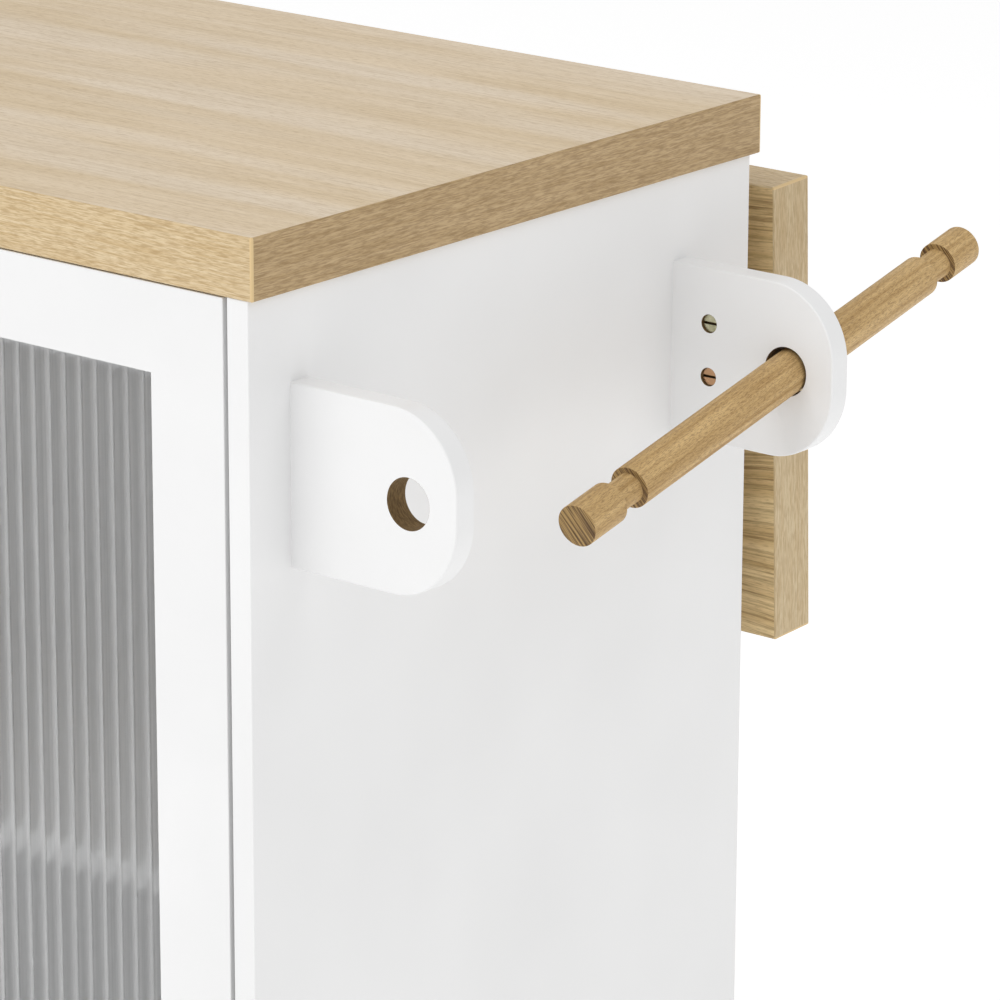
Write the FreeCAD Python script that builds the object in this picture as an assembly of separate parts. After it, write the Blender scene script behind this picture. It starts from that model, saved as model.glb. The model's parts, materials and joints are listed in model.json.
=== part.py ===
import FreeCAD, Part
import math
import os

# A kitchen trolley cabinet with a wood-faced worktop, two fluted doors, a drop leaf at the back
# and a towel bar in two D-shaped brackets on its right side.  Millimetres.
# +X runs to the towel bar side, +Y to the drop leaf, +Z up.  The shapes are made about the
# worktop's centre line at floor level, and moved at the end so that the origin is the middle of
# the whole object's box, on the floor.

# ---- driving dimensions ----
overall_height = 900.0
worktop_width = 1000.0
worktop_depth = 450.0
worktop_thick = 35.0
board = 15.0               # side panels, rails, divider and shelves
edge_ease = 1.0            # small rounding of worktop, leaf and bracket edges
panel_ease = 0.6           # rounding of the white panels' edges
side_overhang = 4.0        # worktop past the side panels
front_setback = 1.0        # doors and side panels behind the worktop's front edge
rear_setback = 5.0         # side panels' rear edge inside the worktop's rear edge
back_inset = 15.0          # back panel inside the side panels' rear edge
back_thick = 5.0
rear_rail_height = 150.0
front_rail_height = 60.0
castor_height = 75.0

door_thick = 18.0
door_gap = 3.0
door_top_gap = 1.0
stile_width = 52.0
rail_width = 50.0
rebate_width = 8.0
rebate_depth = 8.0
flute_pitch = 11.7
flute_rise = 1.8
flute_count = 33
pane_base = 3.0
pivot_inset = 7.0          # door pivot from the door's edge and from its front face
pivot_radius = 2.5
pivot_in_panel = 8.0       # door pins' depth in the cabinet's floor and in the worktop
pivot_in_door = 10.0
bush_radius = 4.0
bush_length = 12.0
running_gap = 0.05         # radial clearance of every turning fit
bead_depth = 3.0           # glazing strip behind the pane
knob_height = 620.0
knob_profile = [
    (0.0, 8.0), (9.0, 6.5), (13.0, 10.0), (17.0, 14.0), (20.0, 15.0), (23.0, 14.0), (25.0, 11.0)
]
knob_screw_radius = 2.0
catch_x = (12.0, 54.0)     # magnet catch, from the cabinet's middle
catch_depth = 17.0
catch_tall = 14.0
catch_pole_z = (3.0, 9.5)  # its two pole plates above its underside
catch_pole_thick = 1.5
striker_x = (20.0, 46.0)
striker_z = (788.0, 802.0)
striker_thick = 1.2

shelf_top = 510.0
shelf_pin_radius = 2.5
shelf_pin_depth = 7.0
shelf_pin_y = (-140.0, 150.0)
shelf_pin_out = 9.0        # part of each pin under the shelf
shelf_hole_pitch = 32.0
shelf_y = (-185.0, 190.0)

cam_radius = 7.5
cam_depth = 12.0
cam_inset = 24.0           # side panel's inner face to the cam's centre
cam_y = (-100.0, 80.0)     # cams under the bottom panel
cam_rail_drops = (40.0, 30.0)   # rear and front rail cams below the worktop
cam_bolt_length = 34.0
cam_slot = (9.0, 1.6, 2.4)      # each bar of the cross slot

angle_x = (-350.0, -120.0, 120.0, 350.0)
angle_half = 15.0          # half of each steel angle's length
angle_leg = 20.0
angle_hole_radius = 2.0

bracket_reach = 115.0
bracket_tall = 104.0
bracket_thick = 15.0
bracket_corner = 44.0
bracket_drop = 86.0        # worktop's top to the bracket's top edge
bracket_front_y = 34.0     # worktop's front edge to the front bracket's front face
bracket_rear_y = 371.0     # worktop's front edge to the rear bracket's front face
bar_hole_radius = 14.6
bar_hole_out = 82.0        # side panel to the hole's centre
nut_radius = 5.1
nut_hole_radius = 5.5
nut_hole_depth = 12.5
nut_sink = 1.5             # bracket's face to the barrel nut's slotted end
nut_slot = 1.6             # width and depth of that slot
nut_out = 27.0
nut_drops = (33.0, 65.0)   # bracket's top edge to each barrel nut
bolt_radius = 3.0
bolt_head_radius = 6.0
bolt_head_tall = 3.0
bolt_past_nut = 5.0

bar_radius = 12.4
bar_length = 405.0
bar_near_cap = 33.0        # end sections outside the two grooves
bar_far_cap = 27.5
bar_groove_length = 18.0
bar_neck_radius = 8.8
bar_bevel = 2.2            # slanting shoulder on the front side of each groove
bar_lead = 218.3           # near end to the middle of the rear bracket, along the bar
bar_rise = 0.4             # bar's axis above the hole's centre, there
bar_dip = 11.0             # degrees, near end down
bar_splay = 2.8            # degrees, near end outwards

leaf_length = 285.0
leaf_gap = 2.0             # raised leaf to the worktop's edge
fold_angle = 87.8          # hanging to level
fold_pivot_y = 220.5       # pivot behind the worktop's centre line
fold_pivot_drop = 18.2     # pivot below the worktop's underside
fold_bracket_x = 330.0
strut_length = 148.0
strut_drop = 105.0         # strut's lower pivot below the leaf's pivot
fold_pin_radius = 3.0
steel = 2.0                # sheet thickness of the fold brackets and the angles
roller_radius = 4.0
arm_half = 10.0
arm_depth = 12.0
arm_length = 268.0
arm_screw_reaches = (25.0, 130.0, 190.0)   # from the leaf's near edge
leg_side_gap = 0.4         # arm's cheek to the leg's cheek
leg_past_pivot = 12.0
leg_screw_in = 25.0        # pivots to the leg's screws
pin_head_radius = 4.5
pin_head_thick = 1.2
wood_screw_radius = 2.0
wood_screw_head = 4.0

wheel_radius = 25.0
wheel_half = 10.0
tyre_rounding = 5.0
disc_radius = 17.0         # recessed disc inside the tyre
disc_recess = 4.0
boss_radius = 8.0
boss_half = 11.5
castor_trail = 18.0
castor_x = 440.0
castor_y = 165.0
kingpin_radius = 4.0
axle_radius = 4.0
axle_head_radius = 6.5
axle_head_thick = 3.0
cheek_inner = 12.0
cheek_thick = 2.5
plate_half = (24.0, 30.0)
plate_thick = 2.5
plate_screw = (18.0, 23.0)   # from the kingpin
plate_screw_radius = 2.5
crown_radius = 18.0
crown_low = 11.0             # crown's underside and top below the plate's top
crown_high = 5.0
brake_travel = 25.0
brake_pin_radius = 2.5
brake_cam_offset = 4.4
brake_cam_gap = 0.4
brake_pivot = (14.0, 30.0)   # behind and above the wheel's centre

# ---- places that follow ----
underside = overall_height - worktop_thick
front_edge = -worktop_depth / 2
rear_edge = worktop_depth / 2
panel_out = worktop_width / 2 - side_overhang
panel_in = panel_out - board
panel_front = front_edge + front_setback
panel_rear = rear_edge - rear_setback
back_face = panel_rear - back_inset
floor_top = castor_height + board
door_front = panel_front
door_back = door_front + door_thick
door_low = floor_top + door_gap
door_high = underside - door_top_gap
door_outer = panel_in - door_gap
door_inner = door_gap / 2
inside_front = door_back + 2.0
pivot_x = door_outer - pivot_inset
pivot_y = door_front + pivot_inset
shelf_pin_z = shelf_top - board - shelf_pin_radius
bracket_high = overall_height - bracket_drop
bar_hole_x = panel_out + bar_hole_out
bar_hole_z = bracket_high - bracket_tall / 2
fold_pivot_z = underside - fold_pivot_drop
strut_pivot_z = fold_pivot_z - strut_drop
rest_tilt = 90.0 - fold_angle
roller_offset = fold_pivot_drop - steel - roller_radius - 0.3


def vec(x, y, z):
    return FreeCAD.Vector(x, y, z)


def block(x, y, z):
    """A block between the two limits of each axis."""
    return Part.makeBox(x[1] - x[0], y[1] - y[0], z[1] - z[0], vec(x[0], y[0], z[0]))


def rod(start, axis, radius, length):
    return Part.makeCylinder(radius, length, vec(*start), vec(*axis))


def eased(shape, radius):
    """Every edge of a block slightly rounded."""
    return shape.makeFillet(radius, shape.Edges)


def prism(points, x0, x1):
    """An outline of (y, z) points, carried from x0 to x1."""
    wire = Part.makePolygon([vec(x0, y, z) for y, z in points + points[:1]])
    return Part.Face(wire).extrude(vec(x1 - x0, 0, 0))


def tube_of(profile, origin, axis):
    """A profile of (along, radius) points turned about an axis that starts at origin."""
    points = [(profile[0][0], 0.0)] + list(profile) + [(profile[-1][0], 0.0)]
    wire = Part.makePolygon([vec(r, 0, a) for a, r in points + points[:1]])
    solid = Part.Face(wire).revolve(vec(0, 0, 0), vec(0, 0, 1), 360)
    solid.Placement = FreeCAD.Placement(vec(*origin), FreeCAD.Rotation(vec(0, 0, 1), vec(*axis)))
    return solid


def mirrored(shape):
    return shape.mirror(vec(0, 0, 0), vec(1, 0, 0))


def strut_angle(arm_angle):
    """Strut from straight down, in degrees, when its roller lies on the arm at arm_angle."""
    reach = strut_drop * math.sin(math.radians(arm_angle)) + roller_offset
    return arm_angle + math.degrees(math.asin(reach / strut_length))


strut_rest = strut_angle(rest_tilt)
strut_ratio = (strut_angle(90.0) - strut_rest) / fold_angle

nodes = {}


# ---- cabinet ----
def shelf_holes(face_x, inward):
    """Two columns of blind holes for the shelf pins, in a face at face_x."""
    holes = []
    for y in shelf_pin_y:
        for step in range(-2, 3):
            z = shelf_pin_z + step * shelf_hole_pitch
            holes.append(rod((face_x, y, z), (inward, 0, 0), shelf_pin_radius, shelf_pin_depth))
    return holes


def shelf_pins():
    """Four pins under each shelf, in the middle holes of their columns."""
    pins = []
    for face_x, inward in ((panel_in, 1), (board / 2, -1)):
        for y in shelf_pin_y:
            start = (face_x + inward * shelf_pin_depth, y, shelf_pin_z)
            pins.append(rod(start, (-inward, 0, 0), shelf_pin_radius, shelf_pin_depth + shelf_pin_out))
    return pins + [mirrored(pin) for pin in pins]


def cam_places():
    """Centre, cam axis and side of every cam lock: bottom panel, rear rail and front rail."""
    places = []
    rear_z, front_z = (underside - drop for drop in cam_rail_drops)
    for side in (-1, 1):
        x = side * (panel_in - cam_inset)
        for y in cam_y:
            places.append((vec(x, y, castor_height), vec(0, 0, 1), side))
        places.append((vec(x, back_face - board, rear_z), vec(0, 1, 0), side))
        places.append((vec(x, inside_front + board, front_z), vec(0, -1, 0), side))
    return places


def cam_disc(place, axis):
    return Part.makeCylinder(cam_radius, cam_depth, place, axis)


def cam_solids():
    """Cam discs with a cross slot, and the bolts that they pull."""
    cams = []
    bolts = []
    for place, axis, side in cam_places():
        heart = place + axis * cam_radius
        outer = heart + vec(side * cam_bolt_length, 0, 0)
        bolt = Part.makeCylinder(bolt_radius, cam_bolt_length, outer, vec(-side, 0, 0))
        cam = cam_disc(place, axis)
        for run in (vec(1, 0, 0), axis.cross(vec(1, 0, 0))):
            across = axis.cross(run)
            slot = Part.makeBox(*cam_slot)
            corner = place - run * (cam_slot[0] / 2) - across * (cam_slot[1] / 2)
            slot.Placement = FreeCAD.Placement(corner, FreeCAD.Rotation(run, across, axis, "XYZ"))
            cam = cam.cut(slot)
        cams.append(cam.cut(bolt))
        bolts.append(bolt)
    return cams, bolts


cams, cam_bolts = cam_solids()
cam_seats = [cam_disc(place, axis) for place, axis, side in cam_places()]

bracket_bolts = []
bolt_holes = []
for bracket_y in (front_edge + bracket_front_y, front_edge + bracket_rear_y):
    for drop in nut_drops:
        y = bracket_y + bracket_thick / 2
        z = bracket_high - drop
        shank = rod((panel_in, y, z), (1, 0, 0), bolt_radius, board + nut_out + bolt_past_nut)
        head = rod((panel_in - bolt_head_tall, y, z), (1, 0, 0), bolt_head_radius, bolt_head_tall)
        socket = rod((panel_in - bolt_head_tall, y, z), (1, 0, 0), 2.0, 2.0)
        bracket_bolts.append(shank.fuse(head).cut(socket))
        hole_length = board + nut_out + bolt_past_nut + 2.0
        bolt_holes.append(rod((panel_in, y, z), (1, 0, 0), bolt_radius + 0.25, hole_length))

side_board = block((panel_in, panel_out), (panel_front, panel_rear), (castor_height, underside))
side_blank = eased(side_board, panel_ease)
side_blank = side_blank.cut(shelf_holes(panel_in, 1) + cam_bolts)
nodes["side_panel_right"] = [side_blank.cut(bolt_holes)]
nodes["side_panel_left"] = [mirrored(side_blank)]

pivot_pins = []
for side in (-1, 1):
    x = side * pivot_x
    low_length = pivot_in_panel + door_gap + pivot_in_door
    high_length = pivot_in_panel + door_top_gap + pivot_in_door
    lower = rod((x, pivot_y, floor_top - pivot_in_panel), (0, 0, 1), pivot_radius, low_length)
    collar = rod((x, pivot_y, floor_top), (0, 0, 1), bush_radius, door_gap - running_gap)
    upper = rod((x, pivot_y, door_high - pivot_in_door), (0, 0, 1), pivot_radius, high_length)
    pivot_pins += [lower.fuse(collar), upper]
nodes["door_pivot_pins"] = pivot_pins

bottom = block((-panel_in, panel_in), (panel_front, back_face - back_thick), (castor_height, floor_top))
bottom = bottom.cut(pivot_pins + cam_seats + cam_bolts)
rear_rail_low = underside - rear_rail_height
front_rail_low = underside - front_rail_height
rear_rail = block((-panel_in, panel_in), (back_face - board, back_face), (rear_rail_low, underside))
front_rail = block((-panel_in, panel_in), (inside_front, inside_front + board), (front_rail_low, underside))
back = block((-panel_in, panel_in), (back_face - back_thick, back_face), (castor_height, rear_rail_low))
nodes["back_panel"] = [back]
divider = block((-board / 2, board / 2), (inside_front, back_face - back_thick), (floor_top, underside))
divider = divider.cut([rear_rail, front_rail])
nodes["divider"] = [divider.cut(shelf_holes(board / 2, -1) + shelf_holes(-board / 2, 1))]
nodes["shelf_pins"] = shelf_pins()
nodes["cam_locks"] = cams
nodes["cam_bolts"] = cam_bolts
nodes["bracket_bolts"] = bracket_bolts

shelf = block((board / 2 + 0.5, panel_in - 0.5), shelf_y, (shelf_top - board, shelf_top))
shelf = eased(shelf, panel_ease)
nodes["shelf_right"] = [shelf]
nodes["shelf_left"] = [mirrored(shelf)]


# ---- worktop, and the steel angles that hold it down to the rails ----
def worktop_angle(x, y, inward):
    """A short steel angle in the corner between a rail's inner face at y and the worktop."""
    span = (x - angle_half, x + angle_half)
    upright = block(span, sorted((y, y + inward * steel)), (underside - angle_leg, underside))
    flat = block(span, sorted((y, y + inward * angle_leg)), (underside - steel, underside))
    angle = upright.fuse(flat).removeSplitter()
    hole_y = y + inward * angle_leg * 0.6
    hole_z = underside - angle_leg * 0.6
    for hole_x in (x - angle_half / 2, x + angle_half / 2):
        into_rail = rod((hole_x, y, hole_z), (0, inward, 0), angle_hole_radius, steel)
        into_top = rod((hole_x, hole_y, underside - steel), (0, 0, 1), angle_hole_radius, steel)
        angle = angle.cut([into_rail, into_top])
    return angle


worktop_angles = []
for x in angle_x:
    worktop_angles.append(worktop_angle(x, inside_front + board, 1))
    worktop_angles.append(worktop_angle(x, back_face - board, -1))
nodes["worktop_angles"] = worktop_angles

worktop_half = worktop_width / 2
worktop = block((-worktop_half, worktop_half), (front_edge, rear_edge), (underside, overall_height))
nodes["worktop"] = [eased(worktop, edge_ease).cut(pivot_pins)]


# ---- towel bar and its brackets ----
def towel_bracket(front_y, inner_way):
    """D-shaped board on the side panel; inner_way is the side that its barrel nuts open on."""
    y1 = front_y + bracket_thick
    low = bracket_high - bracket_tall
    out = panel_out + bracket_reach
    plate = block((panel_out, out), (front_y, y1), (low, bracket_high))
    outer = [edge for edge in plate.Edges
             if abs(edge.CenterOfMass.x - out) < 0.01 and abs(edge.Length - bracket_thick) < 0.01]
    plate = plate.makeFillet(bracket_corner, outer)
    rims = [edge for edge in plate.Edges
            if min(abs(edge.CenterOfMass.y - front_y), abs(edge.CenterOfMass.y - y1)) < 0.01
            and edge.CenterOfMass.x > panel_out + 0.01]
    plate = plate.makeFillet(edge_ease, rims)
    plate = plate.cut(rod((bar_hole_x, front_y, bar_hole_z), (0, 1, 0), bar_hole_radius, bracket_thick))
    inner_y = y1 if inner_way > 0 else front_y
    for drop in nut_drops:
        seat = (panel_out + nut_out, inner_y, bracket_high - drop)
        plate = plate.cut(rod(seat, (0, -inner_way, 0), nut_hole_radius, nut_hole_depth))
    return plate.cut(bolt_holes)


def barrel_nut(inner_y, inner_way, z):
    """Slotted cross dowel, sunk a little below the bracket's face, with the bolt's hole through it."""
    x = panel_out + nut_out
    outer_y = inner_y - inner_way * nut_sink
    nut = rod((x, outer_y, z), (0, -inner_way, 0), nut_radius, nut_hole_depth - nut_sink)
    slot_y = sorted((outer_y, outer_y - inner_way * nut_slot))
    nut = nut.cut(block((x - nut_radius, x + nut_radius), slot_y, (z - nut_slot / 2, z + nut_slot / 2)))
    return nut.cut(bracket_bolts)


front_bracket_y = front_edge + bracket_front_y
rear_bracket_y = front_edge + bracket_rear_y
nodes["towel_bracket_front"] = [towel_bracket(front_bracket_y, 1)]
nodes["towel_bracket_rear"] = [towel_bracket(rear_bracket_y, -1)]
nodes["barrel_nuts"] = (
    [barrel_nut(front_bracket_y + bracket_thick, 1, bracket_high - drop) for drop in nut_drops]
    + [barrel_nut(rear_bracket_y, -1, bracket_high - drop) for drop in nut_drops]
)

bar_axis = vec(
    math.sin(math.radians(bar_splay)),
    -math.cos(math.radians(bar_splay)) * math.cos(math.radians(bar_dip)),
    -math.cos(math.radians(bar_splay)) * math.sin(math.radians(bar_dip)),
)
bar_middle = vec(bar_hole_x, rear_bracket_y + bracket_thick / 2, bar_hole_z + bar_rise)
bar_near_end = bar_middle + bar_axis * bar_lead
near_groove = bar_near_cap + bar_groove_length
far_groove = bar_length - bar_far_cap - bar_groove_length
bar_profile = [
    (0.0, bar_radius - edge_ease), (edge_ease, bar_radius), (bar_near_cap - bar_bevel, bar_radius),
    (bar_near_cap, bar_neck_radius), (near_groove, bar_neck_radius), (near_groove, bar_radius),
    (far_groove - bar_bevel, bar_radius), (far_groove, bar_neck_radius),
    (bar_length - bar_far_cap, bar_neck_radius), (bar_length - bar_far_cap, bar_radius),
    (bar_length - edge_ease, bar_radius), (bar_length, bar_radius - edge_ease),
]
nodes["towel_bar"] = [tube_of(bar_profile, tuple(bar_near_end), tuple(bar_axis * -1.0))]


# ---- doors, modelled on the right and mirrored ----
window_x = (door_inner + stile_width, door_outer - stile_width)
window_z = (door_low + rail_width, door_high - rail_width)
rebate_x = (window_x[0] - rebate_width, window_x[1] + rebate_width)
rebate_z = (window_z[0] - rebate_width, window_z[1] + rebate_width)
rebate_y = door_back - rebate_depth
knob_x = door_inner + stile_width / 2


def door_frame():
    """Frame cut from one board, with a rebate for the pane, seats for the bushes and the knob's hole."""
    blank = block((door_inner, door_outer), (door_front, door_back), (door_low, door_high))
    frame = eased(blank, panel_ease)
    frame = frame.cut(block(window_x, (door_front, door_back), window_z))
    frame = frame.cut(block(rebate_x, (rebate_y, door_back), rebate_z))
    for z in (door_low, door_high - bush_length):
        frame = frame.cut(rod((pivot_x, pivot_y, z), (0, 0, 1), bush_radius, bush_length))
    return frame.cut(rod((knob_x, door_front, knob_height), (0, 1, 0), knob_screw_radius, door_thick))


def fluted_pane():
    """Pane whose front is a row of shallow arcs, one for each flute."""
    back_y = door_back - bead_depth
    flat_y = back_y - pane_base
    middle = (window_x[0] + window_x[1]) / 2
    left = middle - flute_count * flute_pitch / 2
    low = rebate_z[0] + 0.5
    edges = []
    for flute in range(flute_count):
        x = left + flute * flute_pitch
        start = vec(x, flat_y, low)
        crown = vec(x + flute_pitch / 2, flat_y - flute_rise, low)
        end = vec(x + flute_pitch, flat_y, low)
        edges.append(Part.Arc(start, crown, end).toShape())
    right = left + flute_count * flute_pitch
    around = [(right, flat_y), (right, back_y), (left, back_y), (left, flat_y)]
    pane_corners = [vec(x, y, low) for x, y in around]
    edges += [Part.makeLine(a, b) for a, b in zip(pane_corners, pane_corners[1:])]
    tall = rebate_z[1] - rebate_z[0] - 1.0
    return Part.Face(Part.Wire(edges)).extrude(vec(0, 0, tall))


def glazing_bead():
    """Frame of white strip that holds the pane in its rebate."""
    y = (door_back - bead_depth, door_back)
    outer = block((rebate_x[0] + 0.3, rebate_x[1] - 0.3), y, (rebate_z[0] + 0.3, rebate_z[1] - 0.3))
    return outer.cut(block(window_x, y, window_z))


def knob():
    return tube_of(knob_profile, (knob_x, door_front, knob_height), (0, -1, 0)).cut(knob_screw())


def knob_screw():
    """Screw from the door's back into the knob."""
    shank = rod((knob_x, door_back, knob_height), (0, -1, 0), knob_screw_radius, door_thick + 12.0)
    return shank.fuse(rod((knob_x, door_back, knob_height), (0, 1, 0), 2 * knob_screw_radius, 1.6))


def bushes():
    """Nylon sleeves in the door's top and bottom edges that turn on the pivot pins."""
    bore = Part.makeCylinder(pivot_radius + running_gap, bush_length)
    sleeve = Part.makeCylinder(bush_radius, bush_length).cut(bore)
    places = (vec(pivot_x, pivot_y, door_low), vec(pivot_x, pivot_y, door_high - bush_length))
    return [sleeve.translated(place) for place in places]


def striker():
    """Steel plate on the door's back that meets the magnet."""
    return block(striker_x, (door_back, door_back + striker_thick), striker_z)


def magnet_catch():
    """Catch body on the underside of the front rail, with the magnet's two pole plates."""
    low = underside - front_rail_height - catch_tall
    pole_y = door_back + striker_thick + 0.4
    pole_x = (catch_x[0] + 4.0, catch_x[1] - 4.0)
    body = block(catch_x, (pole_y + 0.6, door_back + catch_depth), (low, low + catch_tall))
    poles = [block(pole_x, (pole_y, door_back + catch_depth / 2), (low + z, low + z + catch_pole_thick))
             for z in catch_pole_z]
    return body.fuse(poles)


door_parts = {
    "door_frame": [door_frame()],
    "fluted_pane": [fluted_pane()],
    "glazing_bead": [glazing_bead()],
    "door_knob": [knob()],
    "knob_screw": [knob_screw()],
    "door_bushes": bushes(),
    "striker_plate": [striker()],
}
for name, solids in door_parts.items():
    nodes[name + "_right"] = solids
    nodes[name + "_left"] = [mirrored(solid) for solid in solids]
catch = magnet_catch()
nodes["magnet_catches"] = [catch, mirrored(catch)]


# ---- drop leaf on two folding brackets, modelled level and turned down to hang ----
def hang(shape):
    return shape.rotated(vec(0, fold_pivot_y, fold_pivot_z), vec(1, 0, 0), -fold_angle)


leaf_near = rear_edge + leaf_gap
arm_x = (fold_bracket_x, -fold_bracket_x)


def arm_screw(x, y):
    """Countersunk screw, flush in the arm's web and up into the leaf."""
    low = vec(x, y, underside - steel)
    head = Part.makeCone(wood_screw_head, wood_screw_radius, steel, low, vec(0, 0, 1))
    return head.fuse(rod(tuple(low), (0, 0, 1), wood_screw_radius, 22.0))


arm_screws = [arm_screw(x, leaf_near + reach) for x in arm_x for reach in arm_screw_reaches]


def fold_arm(x):
    """Channel under the leaf; its two cheeks reach down to the pivot."""
    far = leaf_near + arm_length
    cheek = [(leaf_near + 2.0, underside), (far, underside), (far, underside - arm_depth),
             (leaf_near + 32.0, underside - arm_depth), (fold_pivot_y + 4.0, fold_pivot_z - 6.0),
             (fold_pivot_y - 6.5, fold_pivot_z + 3.0)]
    parts = []
    for x0, x1 in ((x - arm_half, x - arm_half + steel), (x + arm_half - steel, x + arm_half)):
        parts.append(prism(cheek, x0, x1))
        parts.append(rod((x0, fold_pivot_y, fold_pivot_z), (1, 0, 0), 7.0, steel))
    web = block((x - arm_half, x + arm_half), (leaf_near + 3.0, far), (underside - steel, underside))
    arm = web.fuse(parts).removeSplitter()
    bore = rod((x - 15.0, fold_pivot_y, fold_pivot_z), (1, 0, 0), fold_pin_radius + running_gap, 30.0)
    return arm.cut([bore] + arm_screws)


def fold_leg(x):
    """Upright channel on the rear rail, with holes for both pivots and two screws."""
    inner = arm_half + leg_side_gap
    tall = (strut_pivot_z - leg_past_pivot, fold_pivot_z + leg_past_pivot)
    leg_front = fold_pivot_y + 7.0
    leg = block((x - inner - steel, x + inner + steel), (back_face, leg_front), tall)
    leg = leg.cut(block((x - inner, x + inner), (back_face + steel, leg_front), tall))
    return leg.cut(leg_screws + fold_pins)


def fold_pin(x, z):
    """Pivot pin with a flat head at each end, outside the leg's cheeks."""
    half = arm_half + leg_side_gap + steel
    ends = (x - half - pin_head_thick, x + half)
    pin = rod((ends[0], fold_pivot_y, z), (1, 0, 0), fold_pin_radius, 2 * (half + pin_head_thick))
    for end in ends:
        pin = pin.fuse(rod((end, fold_pivot_y, z), (1, 0, 0), pin_head_radius, pin_head_thick))
    return pin


def leg_screw(x, z):
    head = rod((x, back_face + steel, z), (0, 1, 0), wood_screw_head, 1.8)
    return head.fuse(rod((x, back_face + steel, z), (0, -1, 0), wood_screw_radius, 14.0))


def strut(x):
    """Flat bar from the leg's lower pivot to the roller that lies in the arm's channel."""
    base = vec(x, fold_pivot_y, strut_pivot_z)
    bar = block((x - 6.0, x + 6.0), (fold_pivot_y - 3.0, fold_pivot_y + 3.0),
                (strut_pivot_z - strut_length, strut_pivot_z))
    eye = rod((x - 9.0, fold_pivot_y, strut_pivot_z), (1, 0, 0), 6.5, 18.0)
    roller = rod((x - 7.0, fold_pivot_y, strut_pivot_z - strut_length), (1, 0, 0), roller_radius, 14.0)
    bore = rod((x - 15.0, fold_pivot_y, strut_pivot_z), (1, 0, 0), fold_pin_radius + running_gap, 30.0)
    return bar.fuse([eye, roller]).cut(bore).rotated(base, vec(1, 0, 0), strut_rest)


leaf_y = (leaf_near, leaf_near + leaf_length)
leaf = eased(block((-worktop_half, worktop_half), leaf_y, (underside, overall_height)), edge_ease)
nodes["drop_leaf"] = [hang(leaf.cut(arm_screws))]
nodes["fold_arms"] = [hang(fold_arm(x)) for x in arm_x]
nodes["arm_screws"] = [hang(screw) for screw in arm_screws]
leg_screw_z = (fold_pivot_z - leg_screw_in, strut_pivot_z + leg_screw_in)
leg_screws = [leg_screw(x, z) for x in arm_x for z in leg_screw_z]
fold_pins = [fold_pin(x, z) for x in arm_x for z in (fold_pivot_z, strut_pivot_z)]
nodes["fold_legs"] = [fold_leg(x) for x in arm_x]
nodes["leg_screws"] = leg_screws
nodes["fold_pins"] = fold_pins
nodes["rear_rail"] = [rear_rail.cut(leg_screws + cam_seats + cam_bolts)]
nodes["front_rail"] = [front_rail.cut(cam_seats + cam_bolts)]
nodes["fold_strut_right"] = [strut(fold_bracket_x)]
nodes["fold_strut_left"] = [strut(-fold_bracket_x)]


# ---- castors, modelled at the origin and moved to the four corners ----
plate_screws = [(side * plate_screw[0], end * plate_screw[1]) for side in (-1, 1) for end in (-1, 1)]


def castor_plate():
    """Top plate with its race, and the kingpin that the fork turns on."""
    low = castor_height - plate_thick
    half_x, half_y = plate_half
    plate = block((-half_x, half_x), (-half_y, half_y), (low, castor_height))
    for x, y in plate_screws:
        plate = plate.cut(rod((x, y, low), (0, 0, 1), plate_screw_radius, plate_thick))
    race = rod((0, 0, low - 2.0), (0, 0, 1), 15.0, 2.0)
    pin = rod((0, 0, castor_height - 15.0), (0, 0, 1), kingpin_radius, 12.5)
    flare = rod((0, 0, castor_height - 15.0), (0, 0, 1), 6.5, 3.5)
    return plate.fuse([race, pin, flare])


def castor_fork():
    """Round crown that turns on the kingpin, and two cheeks down to the wheel's axle."""
    crown = rod((0, 0, castor_height - crown_low), (0, 0, 1), crown_radius, crown_low - crown_high)
    tie_y = castor_trail + brake_pivot[0]
    tie_z = wheel_radius + brake_pivot[1]
    crown_z = castor_height - crown_high - 1.0
    outline = [(-13.0, crown_z), (13.0, crown_z), (tie_y + 5.0, tie_z + 4.0), (tie_y + 5.0, tie_z - 6.0),
               (castor_trail + 8.0, wheel_radius), (castor_trail, wheel_radius - 8.0),
               (castor_trail - 8.0, wheel_radius), (-13.0, crown_z - 8.0)]
    parts = []
    for x0 in (-cheek_inner - cheek_thick, cheek_inner):
        cheek = prism(outline, x0, x0 + cheek_thick)
        parts.append(cheek.fuse(rod((x0, castor_trail, wheel_radius), (1, 0, 0), 8.0, cheek_thick)))
    fork = crown.fuse(parts).removeSplitter()
    half = cheek_inner + cheek_thick
    bores = [rod((0, 0, castor_height - 12.0), (0, 0, 1), kingpin_radius + running_gap, 8.0),
             rod((-half, castor_trail, wheel_radius), (1, 0, 0), axle_radius, 2 * half),
             rod((-half, tie_y, tie_z), (1, 0, 0), brake_pin_radius, 2 * half)]
    return fork.cut(bores)


def castor_axle():
    half = cheek_inner + cheek_thick
    ends = (-half - axle_head_thick, half)
    axle = rod((ends[0], castor_trail, wheel_radius), (1, 0, 0), axle_radius, 2 * (half + axle_head_thick))
    for x in ends:
        axle = axle.fuse(rod((x, castor_trail, wheel_radius), (1, 0, 0), axle_head_radius, axle_head_thick))
    return axle


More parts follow.
